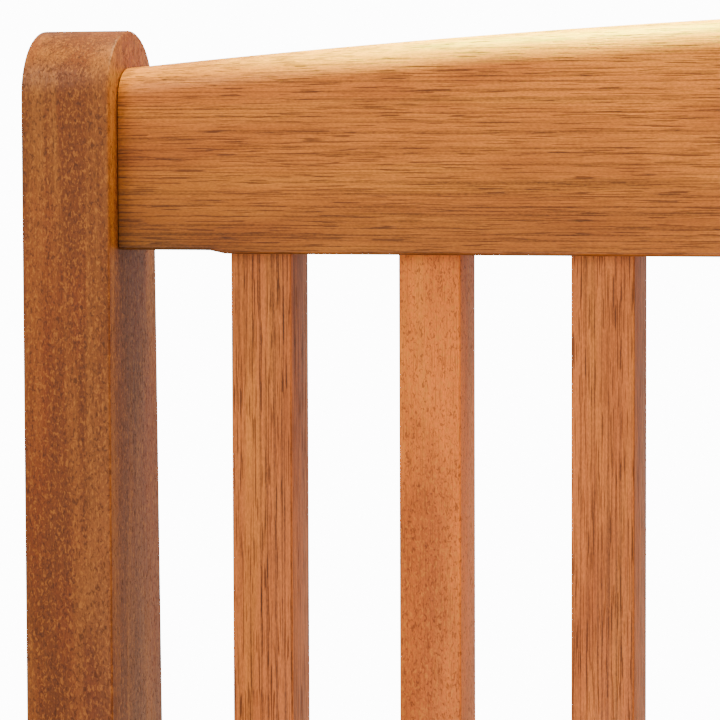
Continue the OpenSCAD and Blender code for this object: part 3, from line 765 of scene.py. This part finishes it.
class SWING_OT_legs_and_arms(bpy.types.Operator):
    """Makes the front legs and the arms"""
    bl_idname = "swing.legs_and_arms"
    bl_label = "Legs and arms"

    def execute(self, context):
        wood = context.scene.swing_wood
        for n, side in enumerate(SIDES):
            name = f"{side}_front_leg"
            low, high = node_box(name)
            leg = extruded(name + "_wood", box_outline(low.yz, high.yz), low.x, high.x)
            leg = eased(leg, wood.soft_edge, 4)
            grained(leg, Matrix.Identity(4), 1.02 - 0.05 * n, 0.8, 8.3 + 2 * n)
            hand_over(leg, "bench", [name], coat("post"))

            name = f"{side}_arm"
            low, high = node_box(name)
            corner = 20 * MM
            lean = (high.z - low.z) * math.tan(wood.recline)
            outline = arc((low.x + corner, low.y + corner), corner, 180, 270, 8)
            outline += arc((high.x - corner, low.y + corner), corner, 270, 360, 8)
            outline += [(high.x, high.y), (low.x, high.y)]
            arm = extruded(name + "_wood", outline, low.z, high.z)
            arm.data.transform(LONG_X)
            for vertex in arm.data.vertices:
                if vertex.co.y > high.y - lean / 2 and vertex.co.z < low.z + MM:
                    vertex.co.y -= lean
            arm = eased(arm, wood.soft_edge, 4)
            grained(arm, LONG_Y, 1.0 - 0.04 * n, 0.3, 5.5 + 3 * n)
            hand_over(arm, "bench", [name], coat("rail"))
        return {"FINISHED"}


class SWING_OT_seat_frame(bpy.types.Operator):
    """Makes the side rails, the apron, the rear rail and the middle bearer under the seat"""
    bl_idname = "swing.seat_frame"
    bl_label = "Seat frame"

    def execute(self, context):
        wood = context.scene.swing_wood
        for n, name in enumerate(("left_side_rail", "right_side_rail", "front_apron", "rear_seat_rail",
                                  "seat_bearer")):
            low, high = node_box(name)
            long_y = name.endswith("side_rail") or name == "seat_bearer"
            drop = math.tan(wood.rake) * (high.y - low.y)
            outline = [(low.y, low.z), (high.y, low.z), (high.y, high.z - drop), (low.y, high.z)]
            if name.endswith("side_rail"):
                outline[1] = (high.y - (high.z - drop - low.z) * math.tan(wood.recline), low.z)
            board = extruded(name + "_wood", outline, low.x, high.x)
            board = eased(board, 2 * MM)
            grained(board, LONG_Y if long_y else LONG_X, 0.98 - 0.02 * n, 0.2, 12.1 + 1.7 * n)
            hand_over(board, "bench", [name], coat("rail"))
        return {"FINISHED"}


# ---------- turned and threaded metal ----------

def ring_of(mesh, matrix, steps, shape):
    """A ring of vertices round the matrix's Z; shape gives the radius and height at a turn."""
    ring = []
    for i in range(steps):
        turn = math.tau * i / steps
        radius, height = shape(turn)
        place = Vector((radius * math.cos(turn), radius * math.sin(turn), height))
        ring.append(mesh.verts.new(matrix @ place))
    return ring


def revolved(mesh, profile, steps, matrix=HERE):
    """Adds a turned shape: profile holds (radius, height) points, from axis to axis or all round."""
    all_round = profile[0] == profile[-1]
    rings = [ring_of(mesh, matrix, steps if point[0] else 1, lambda turn: point)
             for point in (profile[:-1] if all_round else profile)]
    skin(mesh, rings + rings[:1] if all_round else rings)


def threaded(mesh, radius, low, high, pitch, steps=24):
    """Adds a threaded rod along Z from low to high with closed ends."""
    depth = 0.55 * pitch
    rows = max(2, round((high - low) / pitch * 6))
    rings = []
    for row in range(rows + 1):
        z = low + (high - low) * row / rows
        fade = min(1.0, (z - low) / pitch, (high - z) / pitch)

        def shape(turn):
            phase = (z / pitch - turn / math.tau) % 1.0
            groove = 1 - abs(2 * phase - 1)
            return radius - depth * groove * fade - (1 - fade) * 0.3 * depth, z

        rings.append(ring_of(mesh, HERE, steps, shape))
    capped_skin(mesh, rings)


def torus(mesh, radius, wire, matrix, around=56, across=16):
    """Adds a ring in the XY plane of the matrix."""
    section = arc((radius, 0), wire, 0, 360, across)[:-1]
    revolved(mesh, section + section[:1], around, matrix)


def hex_body(mesh, corner, low, high, bore=0, steps=48):
    """Adds a hexagonal nut, or a bolt head when bore is zero, with chamfered ends."""
    flat = corner * math.cos(math.pi / 6)

    def circle(radius, z):
        return ring_of(mesh, HERE, steps, lambda turn: (radius, z))

    def sides(base, way):
        def shape(turn):
            radius = flat / math.cos(turn % (math.pi / 3) - math.pi / 6)
            return radius, base + way * max(0.0, radius - flat) * math.tan(math.radians(30))
        return ring_of(mesh, HERE, steps, shape)

    rings = [circle(flat * 0.98, low), sides(low, 1), sides(high, -1), circle(flat * 0.98, high)]
    if not bore:
        capped_skin(mesh, rings)
        return
    rings = [circle(bore, low + 0.5 * MM), circle(bore * 1.1, low)] + rings \
        + [circle(bore * 1.1, high), circle(bore, high - 0.5 * MM)]
    skin(mesh, rings + rings[:1])


def repeat_tree():
    """Sets a copy of an object on every point, turned by the point's turn."""
    tree, start, end = tree_with("Repeat on points", {"Piece": "Object", "Material": "Material"})
    piece = add(tree, "GeometryNodeObjectInfo", {"Object": start.outputs["Piece"]}).outputs["Geometry"]
    turn = add(tree, "GeometryNodeInputNamedAttribute", {"Name": "turn"}, data_type="FLOAT_VECTOR")
    spin = add(tree, "FunctionNodeEulerToRotation", {0: turn})
    row = add(tree, "GeometryNodeInstanceOnPoints", {
        "Points": start.outputs["Geometry"], "Instance": piece, "Rotation": spin})
    close_tree(tree, end, row, start.outputs["Material"])
    return tree


def repeated(name, piece, places, turns, finish):
    """Copies a piece to each place with its turn, as one plain mesh, and removes the pattern."""
    row = points_object(name, places, turns=turns)
    run_tree(row, repeat_tree(), {"Piece": piece, "Material": finish})
    bpy.data.objects.remove(piece)
    shade(row)
    return row


OUTWARD = {-1: (0, -math.pi / 2, 0), 1: (0, math.pi / 2, 0)}


class SWING_OT_fasteners(bpy.types.Operator):
    """Makes the seat screws, arm screws and frame bolts, and finishes the barrel nuts"""
    bl_idname = "swing.fasteners"
    bl_label = "Fasteners"

    def execute(self, context):
        wood = context.scene.swing_wood
        head, hole = 4 * MM, 2 * MM

        def screw(long):
            profile = [(0, -long), (0.6 * MM, -long + 2 * MM), (hole, -long + 7 * MM), (hole, -2.4 * MM),
                       (head, 0), (head * 0.97, 0.2 * MM), (head * 0.7, 0.4 * MM), (1.9 * MM, 0.45 * MM),
                       (1.5 * MM, -1.2 * MM), (0, -1.5 * MM)]
            return built_object("screw", lambda mesh: revolved(mesh, profile, 20))

        places, turns = [], []
        for i in range(SEAT_COUNT):
            low, high = node_box(f"seat_slat_{i + 1}")
            middle = (low + high) / 2
            if i == 0:
                side_x, y = 0.45, APRON_LOW.y + (APRON_HIGH.y - APRON_LOW.y) / 2
            else:
                side_x, y = BENCH_HALF - POST_WIDTH / 2, middle.y
            up = 9 * MM / math.cos(wood.rake)
            z = middle.z + up - (y + up * math.sin(wood.rake) - middle.y) * math.tan(wood.rake)
            for x in (-side_x, 0, side_x):
                places.append((x, y + 9 * MM * math.sin(wood.rake), z))
                turns.append((-wood.rake, 0, 0))
        seat = repeated("seat_screws_steel", screw(40 * MM), places, turns, coat("bolt"))
        hand_over(seat, "bench", ["seat_screws"])

        x = BENCH_HALF - POST_WIDTH / 2
        rear_y = node_box("arm_screws")[1].y
        down = [(side * x, EYE.y - EYE_HALF_SPAN, ARM_HIGH.z) for side in (-1, 1)]
        back = [(side * x, rear_y, (ARM_LOW.z + ARM_HIGH.z) / 2) for side in (-1, 1)]
        front_rows = repeated("arm_screws_front", screw(70 * MM), down, [(0, 0, 0)] * 2, coat("bolt"))
        level = [(-math.pi / 2, 0, 0)] * 2
        rear_rows = repeated("arm_screws_steel", screw(90 * MM), back, level, coat("bolt"))
        joined = bmesh.new()
        joined.from_mesh(front_rows.data)
        joined.from_mesh(rear_rows.data)
        joined.to_mesh(rear_rows.data)
        joined.free()
        bpy.data.objects.remove(front_rows)
        shade(rear_rows)
        hand_over(rear_rows, "bench", ["arm_screws"], coat("bolt"))

        radius, socket = 8 * MM, 2.9 * MM

        def frame_bolt(mesh):
            revolved(mesh, [(0, 0), (radius, 0), (radius, 2.4 * MM), (7.2 * MM, 3.6 * MM),
                            (5.6 * MM, 4 * MM), (socket, 4 * MM), (socket, 1.6 * MM), (0, 1.2 * MM)], 36)
            threaded(mesh, 3 * MM, -81 * MM, -45 * MM, 1.0 * MM, 20)
            revolved(mesh, [(0, -46 * MM), (3 * MM, -46 * MM), (3 * MM, 0.2 * MM), (0, 0.2 * MM)], 24)

        low, high = node_box("frame_bolts")
        ends = [(side, y) for side in (-1, 1) for y in (low.y + radius, high.y - radius)]
        places = [(side * BENCH_HALF, y, (low.z + high.z) / 2) for side, y in ends]
        turns = [OUTWARD[side] for side, y in ends]
        bolts = repeated("frame_bolts_steel", built_object("bolt", frame_bolt), places, turns, coat("bolt"))
        hand_over(bolts, "bench", ["frame_bolts"])
        barrel = bpy.data.objects["frame_barrel_nuts"]
        barrel.data.materials.clear()
        barrel.data.materials.append(coat("bolt"))
        return {"FINISHED"}


class SWING_OT_eye_bolts(bpy.types.Operator):
    """Makes the four eye bolts with their nuts and washers"""
    bl_idname = "swing.eye_bolts"
    bl_label = "Eye bolts"

    def execute(self, context):
        steel = context.scene.swing_steel
        out = CHAIN_X - BENCH_HALF
        spare, thick, nut = 14 * MM, 1.6 * MM, 6.5 * MM

        def eye(mesh):
            torus(mesh, steel.eye_radius, steel.eye_wire,
                  Matrix.Translation((0, 0, out)) @ Matrix.Rotation(math.pi / 2, 4, "X"))
            wire, neck = steel.eye_wire, out - steel.eye_radius
            revolved(mesh, [(0, 0), (wire, 0), (wire, neck - 2 * MM), (wire * 1.15, neck), (0, neck)], 28)
            threaded(mesh, wire, -POST_WIDTH - spare, 1 * MM, 1.25 * MM)

        def nuts(mesh):
            for low in (thick, -POST_WIDTH - thick - nut):
                hex_body(mesh, 7.5 * MM, low, low + nut, steel.eye_wire)

        def washers(mesh):
            hole, rim, edge = 4.2 * MM, 9 * MM, 0.3 * MM
            for low in (0, -POST_WIDTH - thick):
                high = low + thick
                revolved(mesh, [(hole, low), (rim - edge, low), (rim, low + edge), (rim, high - edge),
                                (rim - edge, high), (hole, high), (hole, low)], 36)

        corners = [(side, way) for side in (-1, 1) for way in (-1, 1)]
        places = [(side * BENCH_HALF, EYE.y + way * EYE_HALF_SPAN, EYE.z) for side, way in corners]
        turns = [OUTWARD[side] for side, way in corners]
        for name, build in (("eye_bolts", eye), ("eye_bolt_nuts", nuts), ("eye_bolt_washers", washers)):
            row = repeated(name + "_steel", built_object(name + "_one", build), places, turns, coat("bolt"))
            hand_over(row, "bench", [name])
        return {"FINISHED"}


# ---------- chains ----------

def chain_tree():
    """A straight run of welded oval links down from the origin, every second one turned."""
    tree, start, end = tree_with("Chain", {
        "Count": "Int", "Pitch": "Float", "Link Length": "Float", "Link Width": "Float",
        "Wire Radius": "Float", "Material": "Material"})
    size = start.outputs
    radius = size["Wire Radius"]
    wire = add(tree, MATHS, {0: radius, 1: 2.0}, operation="MULTIPLY")
    wide = add(tree, MATHS, {0: size["Link Width"], 1: wire}, operation="ADD")
    long = add(tree, MATHS, {0: size["Link Length"], 1: wire}, operation="ADD")
    bend = add(tree, MATHS, {0: wide, 1: 0.4999}, operation="MULTIPLY")
    oval = add(tree, "GeometryNodeCurvePrimitiveQuadrilateral", {"Width": wide, "Height": long})
    oval = add(tree, "GeometryNodeFilletCurve", {"Curve": oval, "Radius": bend, "Count": 8}, mode="POLY")
    section = add(tree, "GeometryNodeCurvePrimitiveCircle", {"Resolution": 12, "Radius": radius})
    link = add(tree, "GeometryNodeCurveToMesh", {"Curve": oval, "Profile Curve": section})
    weld = add(tree, "GeometryNodeMeshUVSphere", {"Segments": 12, "Rings": 7, "Radius": radius})
    weld_side = add(tree, MATHS, {0: wide, 1: 0.5}, operation="MULTIPLY")
    weld_place = add(tree, "ShaderNodeCombineXYZ", {0: weld_side})
    weld = add(tree, "GeometryNodeTransform", {
        "Geometry": weld, "Translation": weld_place, "Scale": (1.12, 0.8, 1.12)})
    one = add(tree, "GeometryNodeMeshBoolean", {"Mesh 2": [link, weld]}, operation="UNION", solver="EXACT")
    upright = add(tree, "GeometryNodeTransform", {"Geometry": one, "Rotation": (math.pi / 2, 0, 0)})
    down = add(tree, MATHS, {0: size["Pitch"], 1: -1.0}, operation="MULTIPLY")
    step = add(tree, "ShaderNodeCombineXYZ", {2: down})
    line = add(tree, "GeometryNodeMeshLine", {"Count": size["Count"], "Offset": step}, mode="OFFSET")
    odd = add(tree, MATHS, {0: add(tree, "GeometryNodeInputIndex"), 1: 2.0}, operation="MODULO")
    quarter = add(tree, MATHS, {0: odd, 1: math.pi / 2}, operation="MULTIPLY")
    turn = add(tree, "ShaderNodeCombineXYZ", {2: quarter})
    spin = add(tree, "FunctionNodeEulerToRotation", {0: turn})
    row = add(tree, "GeometryNodeInstanceOnPoints", {"Points": line, "Instance": upright, "Rotation": spin})
    smooth = add(tree, "GeometryNodeSetShadeSmooth", {0: row})
    close_tree(tree, end, smooth, size["Material"])
    return tree


class SWING_OT_chains(bpy.types.Operator):
    """Makes the chains, the rings that join them and the swing links on the hanger bolts"""
    bl_idname = "swing.chains"
    bl_label = "Chains"

    def execute(self, context):
        steel = context.scene.swing_steel
        tree = chain_tree()
        wire = steel.wire / 2
        low, high = node_box("left_ring")
        ring_z = (low.z + high.z) / 2
        upper_low, upper_high = node_box("left_upper_chain")

        def run(name, count, pitch, place, lean, body):
            link_long = pitch + steel.gap
            chain = points_object(name + "_steel", [(0, 0, 0)])
            run_tree(chain, tree, {
                "Count": count, "Pitch": pitch, "Link Length": link_long, "Link Width": steel.link_width,
                "Wire Radius": wire, "Material": coat("chain")})
            chain.data.transform(Matrix.Translation(place) @ Matrix.Rotation(lean, 4, "X"))
            shade(chain, 50)
            hand_over(chain, body, [name])

        for side, sign in (("left", -1), ("right", 1)):
            body = side + "_chains"
            x = sign * CHAIN_X
            reach = upper_high.z - upper_low.z
            pitch = (reach - 4 * wire - steel.gap) / LINKS["upper"]
            first = upper_high.z - 2 * wire - (pitch + steel.gap) / 2
            run(side + "_upper_chain", LINKS["upper"], pitch, Vector((x, 0, first)), 0, body)
            for part, way in (("front", -1), ("rear", 1)):
                run_y = EYE.y + way * EYE_HALF_SPAN
                run_z = ring_z - EYE.z - steel.eye_radius
                whole = math.hypot(run_y, run_z)
                taut = whole - steel.ring_radius + steel.eye_wire + steel.ring_wire + steel.gap
                pitch = taut / LINKS[part]
                start = steel.ring_radius - steel.ring_wire - steel.gap + (pitch + steel.gap) / 2
                lean = math.atan2(run_y, run_z)
                place = Vector((x, 0, ring_z)) + Matrix.Rotation(lean, 3, "X") @ Vector((0, 0, -start))
                run(f"{side}_{part}_chain", LINKS[part], pitch, place, lean, body)
            ring = built_object(side + "_ring_steel", lambda mesh: torus(
                mesh, steel.ring_radius, steel.ring_wire,
                Matrix.Translation((x, 0, ring_z)) @ Matrix.Rotation(math.pi / 2, 4, "Y"), 72, 18))
            hand_over(ring, body, [side + "_ring"], coat("chain"))

            name = side + "_swing_link"
            low, high = node_box(name)
            size, middle = high - low, (low + high) / 2
            link = points_object(name + "_steel", [(0, 0, 0)])
            run_tree(link, tree, {
                "Count": 1, "Pitch": 0.0, "Link Length": size.z - 4 * steel.swing_wire,
                "Link Width": size.y - 4 * steel.swing_wire, "Wire Radius": steel.swing_wire,
                "Material": coat("chain")})
            link.data.transform(Matrix.Translation(middle) @ Matrix.Rotation(math.pi / 2, 4, "Z"))
            shade(link, 50)
            hand_over(link, side + "_link", [name])
        return {"FINISHED"}


# ---------- hangers ----------

class SWING_OT_hangers(bpy.types.Operator):
    """Makes the ceiling brackets with eased edges, their bolts and lock nuts"""
    bl_idname = "swing.hangers"
    bl_label = "Hangers"

    def execute(self, context):
        for side in SIDES:
            name = side + "_hanger"
            source = bpy.data.objects[name]
            mesh = bmesh.new()
            mesh.from_mesh(source.data)
            bmesh.ops.remove_doubles(mesh, verts=mesh.verts, dist=0.005 * MM)
            bmesh.ops.dissolve_limit(mesh, angle_limit=math.radians(1), verts=mesh.verts, edges=mesh.edges)
            data = bpy.data.meshes.new(name + "_steel")
            mesh.to_mesh(data)
            mesh.free()
            bracket = eased(new_object(name + "_steel", data), 0.6 * MM, 2, 40)
            hand_over(bracket, "hangers", [name], coat("bracket"))

        face, head, radius, corner = 15.5 * MM, 6.4 * MM, 5 * MM, 9.2 * MM

        def bolt(mesh):
            hex_body(mesh, corner, -face - head, -face)
            revolved(mesh, [(0, -face - 1 * MM), (radius, -face - 1 * MM), (radius, face), (0, face)], 32)
            threaded(mesh, radius, face - 1 * MM, face + 12 * MM, 1.5 * MM)

        def nut(mesh):
            hex_body(mesh, corner, face, face + 8 * MM, radius)

        places = [(side * CHAIN_X, PIN.y, PIN.z) for side in (-1, 1)]
        turns = [(0, math.pi / 2, 0), (0, -math.pi / 2, 0)]
        for name, build in (("hanger_bolts", bolt), ("hanger_nuts", nut)):
            row = repeated(name + "_steel", built_object(name + "_one", build), places, turns, coat("bolt"))
            hand_over(row, "hangers", [name])
        return {"FINISHED"}


# ---------- stage ----------

def area_light(name, place, target, size, power, tint):
    lamp = bpy.data.lights.new(name, "AREA")
    lamp.shape = "RECTANGLE"
    lamp.size, lamp.size_y = size
    lamp.energy = power
    lamp.color = srgb(tint)[:3]
    obj = bpy.data.objects.new(name, lamp)
    bpy.context.scene.collection.objects.link(obj)
    obj.visible_camera = False
    obj.location = place
    obj.rotation_euler = (Vector(target) - Vector(place)).to_track_quat("-Z", "Y").to_euler()
    return obj


class SWING_OT_stage(bpy.types.Operator):
    """Makes the camera, the pale floor, the white backdrop and the studio lights"""
    bl_idname = "swing.stage"
    bl_label = "Stage"

    def execute(self, context):
        scene = context.scene
        stage, wood = scene.swing_stage, scene.swing_wood
        back = back_matrix(wood)
        lens = bpy.data.cameras.new("Camera")
        lens.lens = stage.lens
        lens.sensor_width = 36
        lens.clip_end = 100
        camera = bpy.data.objects.new("Camera", lens)
        scene.collection.objects.link(camera)
        place = Matrix.Translation((-BENCH_HALF + stage.across, -stage.away, -stage.below_top))
        camera.matrix_world = back @ place @ Matrix.Rotation(stage.turn, 4, "Z") \
            @ Matrix.Rotation(-stage.tip, 4, "X") @ Matrix.Rotation(stage.roll, 4, "Y") \
            @ Matrix.Rotation(math.pi / 2, 4, "X")
        scene.camera = camera

        mesh = bmesh.new()
        bmesh.ops.create_circle(mesh, cap_ends=True, radius=stage.floor_radius, segments=128)
        data = bpy.data.meshes.new("floor")
        mesh.to_mesh(data)
        mesh.free()
        data.transform(Matrix.Translation((0, 0, POST_LOW.z - stage.floor_drop)))
        floor = new_object("floor", data)
        floor.data.materials.append(material("pale_floor", srgb("#f4f2ee"), 0.0, 0.6)[0])

        world = bpy.data.worlds.new("Studio")
        scene.world = world
        world.use_nodes = True
        tree = world.node_tree
        soft = tree.nodes["Background"]
        soft.inputs["Color"].default_value = srgb("#fff7ec")
        soft.inputs["Strength"].default_value = stage.fill
        bright = add(tree, "ShaderNodeBackground", {"Color": (1, 1, 1, 1), "Strength": stage.backdrop})
        seen = add(tree, "ShaderNodeLightPath").outputs["Is Camera Ray"]
        mix = add(tree, "ShaderNodeMixShader", {0: seen, 1: soft.outputs[0], 2: bright.outputs[0]})
        tree.links.new(mix.outputs[0], tree.nodes["World Output"].inputs["Surface"])

        top = back @ Vector((0, 0, 0))
        above = back @ Vector((0, 48 * MM, 140 * MM))
        rail = back @ Vector((0, 30 * MM, 0))
        strip = area_light("strip", above, rail, (0.92, 0.09), stage.strip, "#ccff2a")
        strip.data.spread = math.radians(100)
        strip.light_linking.receiver_collection = bpy.data.collections.new(RAIL_LIGHT)
        area_light("top", back @ Vector((0, 40 * MM, 800 * MM)), rail, (1.2, 0.5), 36, "#fff0b8")
        for name, place, drop, size, power, tint in (
                ("key", (-1.9, -1.7, 1.9), 0.3, (1.8, 1.4), 46, "#fff2e0"),
                ("low", (-0.5, -2.6, -0.9), 0.5, (1.6, 0.9), 30, "#ffffff")):
            area_light(name, top + Vector(place), (-0.2, top.y, top.z - drop), size, power, tint)
        return {"FINISHED"}


OPERATORS = (
    SWING_OT_stage,
    SWING_OT_back_posts,
    SWING_OT_rails,
    SWING_OT_back_slats,
    SWING_OT_seat_slats,
    SWING_OT_legs_and_arms,
    SWING_OT_seat_frame,
    SWING_OT_fasteners,
    SWING_OT_eye_bolts,
    SWING_OT_chains,
    SWING_OT_hangers,
)


class SWING_PT_panel(bpy.types.Panel):
    """Lists the steps that build the swing"""
    bl_idname = "SWING_PT_panel"
    bl_label = "Porch swing"
    bl_space_type = "VIEW_3D"
    bl_region_type = "UI"
    bl_category = "Porch swing"

    def draw(self, context):
        for operator in OPERATORS:
            self.layout.operator(operator.bl_idname)
        for settings in (context.scene.swing_stage, context.scene.swing_wood, context.scene.swing_steel):
            box = self.layout.box()
            for key in settings.bl_rna.properties.keys():
                if key not in ("rna_type", "name"):
                    box.prop(settings, key)


SETTINGS = {
    "swing_stage": SwingStageSettings,
    "swing_wood": SwingWoodSettings,
    "swing_steel": SwingSteelSettings,
}


def register():
    for made in (*SETTINGS.values(), *OPERATORS, SWING_PT_panel):
        bpy.utils.register_class(made)
    for key, group in SETTINGS.items():
        setattr(bpy.types.Scene, key, bpy.props.PointerProperty(type=group))


def unregister():
    for key in SETTINGS:
        delattr(bpy.types.Scene, key)
    for made in reversed((*SETTINGS.values(), *OPERATORS, SWING_PT_panel)):
        bpy.utils.unregister_class(made)


def main():
    register()
    for operator in OPERATORS:
        group, name = operator.bl_idname.split(".")
        getattr(getattr(bpy.ops, group), name)()


if __name__ == "__main__":
    main()
